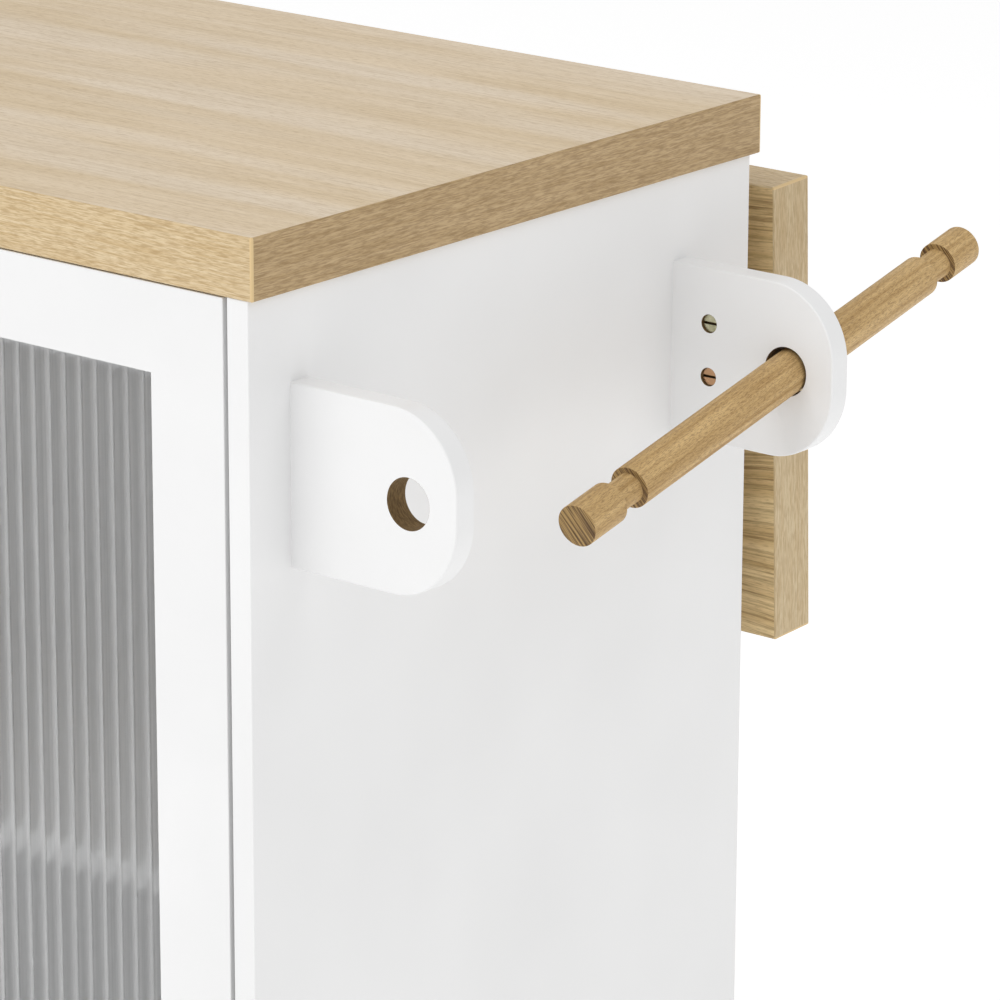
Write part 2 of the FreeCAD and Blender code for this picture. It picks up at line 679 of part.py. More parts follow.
def castor_wheel():
    """Rounded tyre on a recessed disc with a boss that runs on the axle."""
    tyre = rod((-wheel_half, castor_trail, wheel_radius), (1, 0, 0), wheel_radius, 2 * wheel_half)
    tyre = tyre.makeFillet(tyre_rounding, [edge for edge in tyre.Edges if edge.Length > wheel_radius])
    for x0 in (-wheel_half, wheel_half - disc_recess):
        ring = rod((x0, castor_trail, wheel_radius), (1, 0, 0), disc_radius, disc_recess)
        tyre = tyre.cut(ring.cut(rod((x0, castor_trail, wheel_radius), (1, 0, 0), boss_radius, disc_recess)))
    boss = rod((-boss_half, castor_trail, wheel_radius), (1, 0, 0), boss_radius, 2 * boss_half)
    bore = rod((-boss_half, castor_trail, wheel_radius), (1, 0, 0), axle_radius + running_gap, 2 * boss_half)
    return tyre.fuse(boss).cut(bore)


def brake_lever():
    """Foot lever whose round shoe swings against the tyre when its outer end is pressed down."""
    y = castor_trail + brake_pivot[0]
    z = wheel_radius + brake_pivot[1]
    half = cheek_inner - 0.5
    boss = rod((-half, y, z), (1, 0, 0), 4.5, 2 * half)
    distance = math.hypot(*brake_pivot)
    to_wheel = math.degrees(math.atan2(-brake_pivot[1], -brake_pivot[0])) + brake_travel
    shoe_y = y + brake_cam_offset * math.cos(math.radians(to_wheel))
    shoe_z = z + brake_cam_offset * math.sin(math.radians(to_wheel))
    shoe_radius = distance - wheel_radius - brake_cam_offset - brake_cam_gap
    shoe = rod((-8.0, shoe_y, shoe_z), (1, 0, 0), shoe_radius, 16.0)
    foot = [(y, z + 4.2), (y + 12.0, z + 9.0), (y + 34.0, z + 9.0), (y + 36.0, z + 6.5),
            (y + 13.0, z + 6.0), (y + 4.0, z)]
    outer = cheek_inner + cheek_thick
    pin = rod((-outer, y, z), (1, 0, 0), brake_pin_radius - running_gap, 2 * outer)
    return boss.fuse([shoe, prism(foot, -half, half), pin])


def castor_screw(x, y):
    head_low = castor_height - plate_thick - 1.8
    head = rod((x, y, head_low), (0, 0, 1), 4.2, 1.8)
    return head.fuse(rod((x, y, head_low), (0, 0, 1), plate_screw_radius, 14.0))


corners = {"front_left": (-castor_x, -castor_y), "front_right": (castor_x, -castor_y),
           "rear_left": (-castor_x, castor_y), "rear_right": (castor_x, castor_y)}
plates = []
castor_screws = []
for corner, (x, y) in corners.items():
    place = vec(x, y, 0)
    plates.append(castor_plate().translated(place))
    castor_screws += [castor_screw(x + dx, y + dy) for dx, dy in plate_screws]
    nodes["castor_fork_" + corner] = [castor_fork().translated(place)]
    nodes["castor_axle_" + corner] = [castor_axle().translated(place)]
    nodes["castor_wheel_" + corner] = [castor_wheel().translated(place)]
    if corner.startswith("front"):
        nodes["brake_lever_" + corner] = [brake_lever().translated(place)]
nodes["castor_plates"] = plates
nodes["castor_screws"] = castor_screws
nodes["bottom_panel"] = [bottom.cut(castor_screws)]

# ---- origin at the middle of the object's box, on the floor ----
whole = FreeCAD.BoundBox()
for solids in nodes.values():
    for solid in solids:
        whole.add(solid.optimalBoundingBox(False))
to_origin = vec(-whole.Center.x, -whole.Center.y, -whole.ZMin)

os.makedirs("parts", exist_ok=True)
for name, solids in nodes.items():
    moved = [solid.translated(to_origin) for solid in solids]
    shape = moved[0] if len(moved) == 1 else Part.makeCompound(moved)
    shape.exportStep("parts/" + name + ".step")
print(len(nodes), "nodes; box", round(whole.XLength, 2), round(whole.YLength, 2), round(whole.ZLength, 2))
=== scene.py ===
import json
import math
import bpy
import numpy as np
from mathutils import Matrix, Vector


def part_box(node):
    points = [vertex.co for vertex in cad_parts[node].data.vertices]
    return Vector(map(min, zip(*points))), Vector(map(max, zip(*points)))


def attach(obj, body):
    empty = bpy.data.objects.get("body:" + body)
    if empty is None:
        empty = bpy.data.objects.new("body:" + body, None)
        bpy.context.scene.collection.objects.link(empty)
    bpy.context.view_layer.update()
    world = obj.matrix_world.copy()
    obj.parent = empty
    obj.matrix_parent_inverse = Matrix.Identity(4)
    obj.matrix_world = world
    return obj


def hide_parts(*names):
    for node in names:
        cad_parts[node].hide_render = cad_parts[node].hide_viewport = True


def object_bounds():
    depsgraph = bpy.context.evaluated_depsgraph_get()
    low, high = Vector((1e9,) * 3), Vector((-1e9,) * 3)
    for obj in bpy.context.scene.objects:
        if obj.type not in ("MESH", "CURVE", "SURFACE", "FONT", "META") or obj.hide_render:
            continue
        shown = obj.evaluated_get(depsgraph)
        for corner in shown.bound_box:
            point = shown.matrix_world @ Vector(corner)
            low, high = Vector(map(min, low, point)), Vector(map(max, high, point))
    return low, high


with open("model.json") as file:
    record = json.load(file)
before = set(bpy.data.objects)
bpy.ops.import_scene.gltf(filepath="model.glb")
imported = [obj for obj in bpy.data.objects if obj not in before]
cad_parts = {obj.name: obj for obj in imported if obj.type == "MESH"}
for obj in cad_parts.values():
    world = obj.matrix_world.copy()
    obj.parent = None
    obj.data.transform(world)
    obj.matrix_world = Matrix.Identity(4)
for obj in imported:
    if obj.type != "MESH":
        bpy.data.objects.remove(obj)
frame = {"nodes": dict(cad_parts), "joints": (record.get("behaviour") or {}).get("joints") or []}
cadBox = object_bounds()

# Kitchen trolley: oak-foil worktop and drop leaf, white boards, fluted doors, beech towel bar, castors.
# Metres; +X is the towel bar's side, +Y the drop leaf's side, +Z up.
nodes = frame["nodes"]
joints = {joint["name"]: joint for joint in frame["joints"]}
mm = 0.001
corners = ("front_left", "front_right", "rear_left", "rear_right")
sides = ("left", "right")


def linear(hexColour):
    # sRGB hex to linear light
    c = np.array([int(hexColour[i:i + 2], 16) for i in (1, 3, 5)]) / 255
    lin = np.where(c <= 0.04045, c / 12.92, ((c + 0.055) / 1.055) ** 2.4)
    return (*lin.tolist(), 1.0)


def middleOf(node):
    low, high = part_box(node)
    return (low + high) / 2


# ---- camera and light ----
cameraSet = {
    "lens": 188.38, "sensor": 36.0, "azimuth": 38.93, "elevation": 17.006, "roll": 0.227,
    "fromCorner": (1.76859, -1.98208, 0.66915),  # from the worktop's front right top corner
}


def makeCamera(c):
    low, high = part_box("worktop")
    az, el, roll = (math.radians(c[k]) for k in ("azimuth", "elevation", "roll"))
    ahead = Vector((-math.sin(az) * math.cos(el), math.cos(az) * math.cos(el), -math.sin(el)))
    right = Vector((math.cos(az), math.sin(az), 0))
    up = right.cross(ahead)
    across = right * math.cos(roll) + up * math.sin(roll)
    upright = up * math.cos(roll) - right * math.sin(roll)
    data = bpy.data.cameras.new("camera")
    data.lens, data.sensor_width = c["lens"], c["sensor"]
    data.clip_start, data.clip_end = 0.05, 200
    cam = bpy.data.objects.new("camera", data)
    place = Vector((high.x, low.y, high.z)) + Vector(c["fromCorner"])
    cam.matrix_world = Matrix.Translation(place) @ Matrix((across, upright, -ahead)).transposed().to_4x4()
    bpy.context.scene.collection.objects.link(cam)
    bpy.context.scene.camera = cam


lightSet = {
    "sky": 0.68,                                   # even studio light from all round
    "key": {"power": 100, "size": 5.0, "from": (-0.9, -3.5, 4.0)},
    "fill": {"power": 10, "size": 2.0, "from": (2.2, 0.3, 2.4)},
}


def makeLight(name, s, target):
    data = bpy.data.lights.new(name, "AREA")
    data.shape, data.size, data.energy = "DISK", s["size"], s["power"]
    lamp = bpy.data.objects.new(name, data)
    lamp.location = target + Vector(s["from"])
    lamp.rotation_euler = (-Vector(s["from"])).to_track_quat("-Z", "Y").to_euler()
    bpy.context.scene.collection.objects.link(lamp)


# ---- shader nodes ----
def addNode(tree, kind, settings):
    # a value that is a node or an output is linked, a property of the node itself is set, and anything
    # else becomes the input's own value; properties come first, because they choose which inputs are on
    node = tree.nodes.new("ShaderNode" + kind)
    for key, value in settings.items():
        if isinstance(key, str) and key in node.bl_rna.properties:
            setattr(node, key, value)
            continue
        socket = node.inputs[key] if isinstance(key, int) else next(
            s for s in node.inputs if s.enabled and s.name == key)
        if isinstance(value, bpy.types.Node):
            value = next(s for s in value.outputs if s.enabled)
        if isinstance(value, bpy.types.NodeSocket):
            tree.links.new(value, socket)
        else:
            socket.default_value = value
    return node


def newTree(name):
    material = bpy.data.materials.new(name)
    material.use_nodes = True
    material.node_tree.nodes.clear()
    return material, material.node_tree


def cells(tree, vector, size, low, high, least=0.0, most=1.0, detail=2.0):
    # soft cells of the given size along each axis: noise(vector / size), least below low, most above high
    scaled = addNode(tree, "VectorMath", {"operation": "DIVIDE", 0: vector, 1: size})
    noise = addNode(tree, "TexNoise", {"Vector": scaled, "Scale": 1.0, "Detail": detail, "Roughness": 0.6})
    return addNode(tree, "MapRange", {
        "Value": noise, "From Min": low, "From Max": high, "To Min": least, "To Max": most})


def closeTree(tree, colour, rough, height, depth, fixed):
    # one surface shader from a colour, a roughness and a height pattern that is depth metres tall
    bump = addNode(tree, "Bump", {"Distance": depth, "Height": height})
    surface = addNode(tree, "BsdfPrincipled", {
        "Base Color": colour, "Roughness": rough, "Normal": bump, **fixed})
    addNode(tree, "OutputMaterial", {"Surface": surface})


# ---- floor: pale, big enough that the camera sees nothing past it ----
floorSet = {"half": 40.0, "tone": "#f8f8f8", "rough": 0.9, "specular": 0.1, "glow": 0.29}


def makeFloor(f):
    half = f["half"]
    mesh = bpy.data.meshes.new("floor")
    outline = [(-half, -half, 0), (half, -half, 0), (half, half, 0), (-half, half, 0)]
    mesh.from_pydata(outline, [], [(0, 1, 2, 3)])
    floor = bpy.data.objects.new("floor", mesh)
    bpy.context.scene.collection.objects.link(floor)
    material, tree = newTree("paleStudioFloor")
    surface = addNode(tree, "BsdfPrincipled", {
        "Base Color": linear(f["tone"]), "Roughness": f["rough"], "Specular IOR Level": f["specular"],
        "Emission Color": (1, 1, 1, 1), "Emission Strength": f["glow"]})
    addNode(tree, "OutputMaterial", {"Surface": surface})
    mesh.materials.append(material)


# ---- oak foil: a printed paper film on chipboard, satin, with the grain along the board ----
# The top shows soft bands and fine lines of a plain-sawn print with short pores, and whitish staves run
# through it.  The edge strips are a warmer print with dense short dashes, and a plain pale line shows
# where two strips meet at an upright corner.  The underside has the print's wavy dark lines, and its
# browner, more saturated tones are painted warm bounce light, set for the shaded face of the hanging leaf.
oak = {
    "strip": 0.9 * mm,          # the rounding that the edge strips cover
    "corner": "#d9bd8c", "cornerWide": 1.5 * mm,
    "sway": 0.20, "swayTop": (0, 0.012, 0.004), "swayUnder": (0, 0.035, 0.004),
    "top": {"pale": "#ddc9ab", "deep": "#d0b994", "line": "#b69c74", "pore": "#a2875f"},
    # under: the wavy lines are the print; the browner, more saturated tones are painted warm bounce light for
    # the leaf's shaded face
    "under": {"pale": "#efd5a2", "deep": "#cdac74", "line": "#866538", "pore": "#866538"},
    "mist": "#e2d5c4", "stave": (0.50, 0.045, 0.045),
    "band": (0.30, 0.014, 0.014), "line": (0.09, 0.0020, 0.0020), "pore": (0.007, 0.0008, 0.0008),
    "dash": (0.008, 0.0007, 0.0007), "streak": (0.05, 0.0013, 0.0013),
}
boards = {
    "worktop": {"name": "oakFoilWorktop", "half": (0.5, 0.225, 0.0175), "turned": False, "seed": 3.1,
                "long": ("#dbc6a1", "#c8ad80", "#9f7f4c"), "end": ("#bfa47b", "#a88c60", "#7f6238")},
    "drop_leaf": {"name": "oakFoilLeaf", "half": (0.5, 0.1425, 0.0175), "turned": True, "seed": 7.7,
                  "long": ("#dbc6a1", "#c8ad80", "#9f7f4c"), "end": ("#d0bd99", "#c2a97f", "#a3875b")},
}


def oakFoil(node, b, foldAngle):
    o = oak
    material, tree = newTree(b["name"])
    where = addNode(tree, "TexCoord", {}).outputs["Object"]
    # the board's own coordinates: its middle at zero, its length along x and its thickness along z
    board = addNode(tree, "Mapping", {
        "vector_type": "TEXTURE", "Vector": where, "Location": middleOf(node),
        "Rotation": (-foldAngle if b["turned"] else 0.0, 0, 0)})
    place = addNode(tree, "SeparateXYZ", {0: board}).outputs
    far = [addNode(tree, "Math", {"operation": "ABSOLUTE", 0: place[axis]}) for axis in range(3)]
    onEnd, onLong = (addNode(tree, "Math", {
        "operation": "GREATER_THAN", 0: far[axis], 1: b["half"][axis] - o["strip"]}) for axis in (0, 1))
    nearEnd, nearLong = (addNode(tree, "Math", {
        "operation": "GREATER_THAN", 0: far[axis], 1: b["half"][axis] - o["cornerWide"]}) for axis in (0, 1))
    onEdge = addNode(tree, "Math", {"operation": "MAXIMUM", 0: onEnd, 1: onLong})
    onCorner = addNode(tree, "Math", {"operation": "MULTIPLY", 0: nearEnd, 1: nearLong})
    onUnder = addNode(tree, "Math", {"operation": "LESS_THAN", 0: place[2], 1: o["strip"] - b["half"][2]})

    # the end strip's print runs along the end, so its first two axes change places
    turned = addNode(tree, "CombineXYZ", {0: place[1], 1: place[0], 2: place[2]})
    along = addNode(tree, "Mix", {"data_type": "VECTOR", "Factor": onEnd, "A": board, "B": turned})
    print_ = addNode(tree, "VectorMath", {"operation": "ADD", 0: along, 1: (b["seed"], b["seed"] * 0.7, 0.0)})
    # a slow wander across the grain keeps the lines from running dead straight
    slow = addNode(tree, "TexNoise", {
        "Vector": print_, "Scale": 1 / o["sway"], "Detail": 1.0}).outputs["Color"]
    most = addNode(tree, "Mix", {
        "data_type": "VECTOR", "Factor": onUnder, "A": o["swayTop"], "B": o["swayUnder"]})
    wander = addNode(tree, "VectorMath", {"operation": "MULTIPLY", 0: slow, 1: most})
    grain = addNode(tree, "VectorMath", {"operation": "ADD", 0: print_, 1: wander})

    staves = cells(tree, grain, o["stave"], 0.48, 0.66, detail=1.0)
    bands = cells(tree, grain, o["band"], 0.35, 0.65, detail=3.0)
    lines = cells(tree, grain, o["line"], 0.46, 0.70, detail=3.0)
    pores = cells(tree, grain, o["pore"], 0.50, 0.70)
    dashes = cells(tree, grain, o["dash"], 0.42, 0.62)
    streaks = cells(tree, grain, o["streak"], 0.38, 0.66, detail=3.0)

    def layered(first, layers):
        # each layer is laid over the last: (share node, strength, colour)
        colour = linear(first)
        for share, strength, tone in layers:
            part = addNode(tree, "Math", {"operation": "MULTIPLY", 0: share, 1: strength})
            colour = addNode(tree, "Mix", {
                "data_type": "RGBA", "Factor": part, "A": colour, "B": linear(tone)})
        return colour

    faces = []
    # the second pass is the underside, whose browner tones are painted warm bounce light
    for tones, mist, line, pore in ((o["top"], 0.45, 0.42, 0.40), (o["under"], 0.0, 0.85, 0.35)):
        faces.append(layered(tones["pale"], (
            (bands, 0.8, tones["deep"]), (staves, mist, o["mist"]), (lines, line, tones["line"]),
            (pores, pore, tones["pore"]))))
    strips = []
    for pale, deep, dash in (b["long"], b["end"]):
        strips.append(layered(pale, ((streaks, 0.9, deep), (dashes, 0.55, dash))))
    face = addNode(tree, "Mix", {"data_type": "RGBA", "Factor": onUnder, "A": faces[0], "B": faces[1]})
    strip = addNode(tree, "Mix", {"data_type": "RGBA", "Factor": onEnd, "A": strips[0], "B": strips[1]})
    colour = addNode(tree, "Mix", {"data_type": "RGBA", "Factor": onEdge, "A": face, "B": strip})
    colour = addNode(tree, "Mix", {
        "data_type": "RGBA", "Factor": onCorner, "A": colour, "B": linear(o["corner"])})
    # pores are pressed into the film, and they dull its satin a little
    rough = addNode(tree, "MapRange", {"Value": pores, "To Min": 0.42, "To Max": 0.54})
    height = addNode(tree, "Math", {"operation": "SUBTRACT", 0: 1.0, 1: pores})
    closeTree(tree, colour, rough, height, 0.03 * mm, {"IOR": 1.46})
    return material


# ---- white finishes ----
bracket = {
    "holeIn": 33 * mm, "holeRadius": 14.6 * mm,   # bar's hole: its centre in from the bracket's outer edge
    "nutIn": 27 * mm, "nutDrops": (33 * mm, 65 * mm), "nutHoleRadius": 5.5 * mm,
    "nutSink": 1.5 * mm, "nutWall": 2.0 * mm,
}
bareFibre = {"pale": "#8a7048", "deep": "#5a4526", "size": (0.003, 0.0007, 0.003)}


melamine = {"tones": ("#ededed", "#e8e8e8"), "cloud": 0.16, "pearl": 0.0016, "rough": (0.42, 0.54),
            "depth": 0.012 * mm, "ior": 1.5}
lacquer = {"tones": ("#ececec", "#e8e8e8"), "cloud": 0.12, "peel": 0.0012, "rough": (0.30, 0.40),
           "depth": 0.01 * mm, "ior": 1.5}


def whiteMelamine(w):
    # chipboard faced with melamine paper pressed on a fine matt plate: even, dull sheen, faint pearl texture
    material, tree = newTree("whiteMelamineBoard")
    where = addNode(tree, "TexCoord", {}).outputs["Object"]
    cloud = cells(tree, where, (w["cloud"],) * 3, 0.3, 0.7)
    pearl = cells(tree, where, (w["pearl"],) * 3, 0.3, 0.7)
    colour = addNode(tree, "Mix", {
        "data_type": "RGBA", "Factor": cloud, "A": linear(w["tones"][0]), "B": linear(w["tones"][1])})
    rough = addNode(tree, "MapRange", {"Value": pearl, "To Min": w["rough"][0], "To Max": w["rough"][1]})
    closeTree(tree, colour, rough, pearl, w["depth"], {"IOR": w["ior"]})
    return material


def whiteLacquer(name, w, holeNode=None):
    # sprayed lacquer on fibreboard: smoother and glossier than the boards, faint orange peel; where the
    # holes were bored after spraying, the bare brown fibre shows with its coarse nap
    material, tree = newTree(name)
    where = addNode(tree, "TexCoord", {}).outputs["Object"]
    cloud = cells(tree, where, (w["cloud"],) * 3, 0.3, 0.7)
    height = cells(tree, where, (w["peel"],) * 3, 0.3, 0.7)
    colour = addNode(tree, "Mix", {
        "data_type": "RGBA", "Factor": cloud, "A": linear(w["tones"][0]), "B": linear(w["tones"][1])})
    rough = addNode(tree, "MapRange", {"Value": cloud, "To Min": w["rough"][0], "To Max": w["rough"][1]})
    if holeNode:
        low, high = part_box(holeNode)
        # the nuts' holes are blind: they end short of the face that looks away from the other bracket
        outer = (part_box("towel_bracket_front")[0].y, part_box("towel_bracket_rear")[1].y)
        across = addNode(tree, "SeparateXYZ", {0: where}).outputs[1]
        out = addNode(tree, "Math", {"operation": "SUBTRACT", 0: across, 1: sum(outer) / 2})
        blind = addNode(tree, "Math", {
            "operation": "LESS_THAN", 0: addNode(tree, "Math", {"operation": "ABSOLUTE", 0: out}),
            1: (outer[1] - outer[0]) / 2 - bracket["nutWall"]})
        holes = [(high.x - bracket["holeIn"], (low.z + high.z) / 2, bracket["holeRadius"], 1.0)]
        for drop in bracket["nutDrops"]:
            holes.append((low.x + bracket["nutIn"], high.z - drop, bracket["nutHoleRadius"], blind))
        inHole = 0.0
        for x, z, radius, depth in holes:
            away = addNode(tree, "VectorMath", {"operation": "SUBTRACT", 0: where, 1: (x, 0, z)})
            flat = addNode(tree, "VectorMath", {"operation": "MULTIPLY", 0: away, 1: (1, 0, 1)})
            reach = addNode(tree, "VectorMath", {"operation": "LENGTH", 0: flat})
            inside = addNode(tree, "Math", {"operation": "LESS_THAN", 0: reach, 1: radius + 0.05 * mm})
            inside = addNode(tree, "Math", {"operation": "MULTIPLY", 0: inside, 1: depth})
            inHole = addNode(tree, "Math", {"operation": "MAXIMUM", 0: inHole, 1: inside})
        fibres = cells(tree, where, bareFibre["size"], 0.35, 0.65, detail=4.0)
        bare = addNode(tree, "Mix", {"data_type": "RGBA", "Factor": fibres,
                                     "A": linear(bareFibre["pale"]), "B": linear(bareFibre["deep"])})
        colour = addNode(tree, "Mix", {"data_type": "RGBA", "Factor": inHole, "A": colour, "B": bare})
        rough = addNode(tree, "Mix", {"data_type": "FLOAT", "Factor": inHole, "A": rough, "B": 0.9})
        nap = addNode(tree, "Math", {"operation": "MULTIPLY", 0: fibres, 1: 8.0})
        height = addNode(tree, "Mix", {"data_type": "FLOAT", "Factor": inHole, "A": height, "B": nap})
    closeTree(tree, colour, rough, height, w["depth"], {"IOR": w["ior"]})
    return material


acrylicSet = {
    "pale": "#fafafa", "deep": "#e6e7e7", "draw": (0.0009, 0.0009, 1.5), "depth": 0.008 * mm,
    "backSkin": 0.5 * mm, "gloss": (0.04, 0.09), "satin": 0.28, "clear": 0.90, "ior": 1.49,
}


def flutedAcrylic(a):
    # extruded milky acrylic, clear ribs on a satin back: each rib bends the light behind it, so a bright
    # line and soft grey bands repeat across the pane with the fine upright drawing lines of the die, and
    # the shelves stay blurred
    material, tree = newTree("flutedAcrylicPane")
    where = addNode(tree, "TexCoord", {}).outputs["Object"]
    draw = cells(tree, where, a["draw"], 0.35, 0.65, detail=3.0)
    colour = addNode(tree, "Mix", {
        "data_type": "RGBA", "Factor": draw, "A": linear(a["pale"]), "B": linear(a["deep"])})
    back = addNode(tree, "Math", {
        "operation": "GREATER_THAN", 0: addNode(tree, "SeparateXYZ", {0: where}).outputs[1],
        1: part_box("fluted_pane_left")[1].y - a["backSkin"]})
    gloss = addNode(tree, "MapRange", {"Value": draw, "To Min": a["gloss"][0], "To Max": a["gloss"][1]})
    rough = addNode(tree, "Mix", {"data_type": "FLOAT", "Factor": back, "A": gloss, "B": a["satin"]})
    closeTree(tree, colour, rough, draw, a["depth"], {"IOR": a["ior"], "Transmission Weight": a["clear"]})
    return material


# ---- beech: steamed, turned on a lathe and left unvarnished ----
# Ochre with dense short dark ray flecks along the grain; the end grain is brown with close pale rings.
beech = {
    "pale": "#d3b27b", "deep": "#ad8b57", "fleck": "#745430", "end": "#5a4024", "endRing": "#b0905a",
    "streak": (0.0035, 0.0035, 0.10), "ring": (0.00055, 0.03, 0.3), "flecks": (0.0004, 0.0004, 0.003),
}


def turnedBeech():
    # reads each piece's "grain": two distances across the wood, then the one along it
    b = beech
    material, tree = newTree("turnedBeech")
    grain = addNode(tree, "Attribute", {"attribute_name": "grain"}).outputs["Vector"]
    endFace = addNode(tree, "Attribute", {"attribute_name": "endFace"}).outputs["Fac"]
    streaks = cells(tree, grain, b["streak"], 0.35, 0.68, detail=3.0)
    rings = cells(tree, grain, b["ring"], 0.42, 0.60, detail=1.0)
    flecks = cells(tree, grain, b["flecks"], 0.48, 0.62, most=0.55)
    colour = addNode(tree, "Mix", {
        "data_type": "RGBA", "Factor": streaks, "A": linear(b["pale"]), "B": linear(b["deep"])})
    colour = addNode(tree, "Mix", {
        "data_type": "RGBA", "Factor": flecks, "A": colour, "B": linear(b["fleck"])})
    cut = addNode(tree, "Mix", {
        "data_type": "RGBA", "Factor": rings, "A": linear(b["end"]), "B": linear(b["endRing"])})
    colour = addNode(tree, "Mix", {"data_type": "RGBA", "Factor": endFace, "A": colour, "B": cut})
    rough = addNode(tree, "MapRange", {"Value": streaks, "To Min": 0.50, "To Max": 0.68})
    height = addNode(tree, "Math", {"operation": "SUBTRACT", 0: streaks, 1: flecks})
    closeTree(tree, colour, rough, height, 0.08 * mm, {"IOR": 1.45})
    return material


# ---- metals, plastics and rubber ----
metals = {
    "zinc_steel": {"name": "zincPlatedSteel", "tones": ("#c3c6c9", "#a2a5a8"), "rough": (0.28, 0.45),
                   "cell": 11 * mm, "depth": 0.02 * mm},
    "brass_plated": {"name": "brassPlatedSteel", "tones": ("#c9c6a8", "#a39f7e"), "rough": (0.25, 0.42),
                     # slot: painted shade, a dark colour put in the nuts' slots for the shade in the recess
                     "cell": 5 * mm, "depth": 0.02 * mm, "lower": "#c39a76", "slot": "#4a3a26"},
}
plastics = {
    "white_plastic": {"name": "whiteMouldedBead", "tones": ("#ebebeb", "#e4e4e4"), "rough": (0.40, 0.50),
                      "cell": 0.8 * mm, "depth": 0.01 * mm, "ior": 1.46},
    "nylon": {"name": "naturalNylon", "tones": ("#e9e7df", "#dedbd0"), "rough": (0.40, 0.55),
              "cell": 0.8 * mm, "depth": 0.02 * mm, "ior": 1.53},
    "grey_steel": {"name": "powderCoatedSteel", "tones": ("#cfd0d1", "#c4c5c6"), "rough": (0.45, 0.60),
                   "cell": 0.9 * mm, "depth": 0.03 * mm, "ior": 1.5},
    "grey_tyre": {"name": "greyTyreRubber", "tones": ("#5d5f61", "#4c4e50"), "rough": (0.60, 0.80),
                  "cell": 1.2 * mm, "depth": 0.05 * mm, "ior": 1.52},
    "grey_plastic": {"name": "greyMouldedNylon", "tones": ("#6b6e70", "#606365"), "rough": (0.40, 0.55),
                     "cell": 1.0 * mm, "depth": 0.04 * mm, "ior": 1.53},
}


def metalFinish(m):
    # plated steel: patches of the plating change colour and gloss together, under fine dimples; the lower
    # barrel nuts have a copper-red plating, and what lies under the nuts' end faces, the slots, gets a
    # painted dark shade for the shade in the recess
    material, tree = newTree(m["name"])
    where = addNode(tree, "TexCoord", {}).outputs["Object"]
    patch = cells(tree, where, (m["cell"],) * 3, 0.35, 0.65, detail=3.0)
    fine = cells(tree, where, (m["cell"] / 6,) * 3, 0.3, 0.7)
    colour = addNode(tree, "Mix", {
        "data_type": "RGBA", "Factor": patch, "A": linear(m["tones"][0]), "B": linear(m["tones"][1])})
    if "lower" in m:
        place = addNode(tree, "SeparateXYZ", {0: where}).outputs
        below = addNode(tree, "Math", {"operation": "LESS_THAN", 0: place[2], 1: middleOf("barrel_nuts").z})
        colour = addNode(tree, "Mix", {
            "data_type": "RGBA", "Factor": below, "A": colour, "B": linear(m["lower"])})
        # painted shade: the nuts' slots and what lies beyond their end faces are coloured dark for the shade
        # in the recess
        faces = (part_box("towel_bracket_front")[1].y - bracket["nutSink"],
                 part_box("towel_bracket_rear")[0].y + bracket["nutSink"])
        away = addNode(tree, "Math", {"operation": "SUBTRACT", 0: place[1], 1: (faces[0] + faces[1]) / 2})
        far = addNode(tree, "Math", {"operation": "ABSOLUTE", 0: away})
        under = addNode(tree, "Math", {
            "operation": "GREATER_THAN", 0: far, 1: (faces[1] - faces[0]) / 2 + 0.2 * mm})
        colour = addNode(tree, "Mix", {
            "data_type": "RGBA", "Factor": under, "A": colour, "B": linear(m["slot"])})
    rough = addNode(tree, "MapRange", {"Value": patch, "To Min": m["rough"][0], "To Max": m["rough"][1]})
    closeTree(tree, colour, rough, fine, m["depth"], {"Metallic": 1.0})
    return material


def plasticFinish(p):
    # moulded plastic, rubber or powder coat: a fine grain breaks up the gloss, the colour is nearly even
    material, tree = newTree(p["name"])
    where = addNode(tree, "TexCoord", {}).outputs["Object"]
    grain = cells(tree, where, (p["cell"],) * 3, 0.3, 0.7)
    cloud = cells(tree, where, (0.04, 0.04, 0.04), 0.3, 0.7)
    colour = addNode(tree, "Mix", {
        "data_type": "RGBA", "Factor": cloud, "A": linear(p["tones"][0]), "B": linear(p["tones"][1])})
    rough = addNode(tree, "MapRange", {"Value": grain, "To Min": p["rough"][0], "To Max": p["rough"][1]})
    closeTree(tree, colour, rough, grain, p["depth"], {"IOR": p["ior"]})
    return material


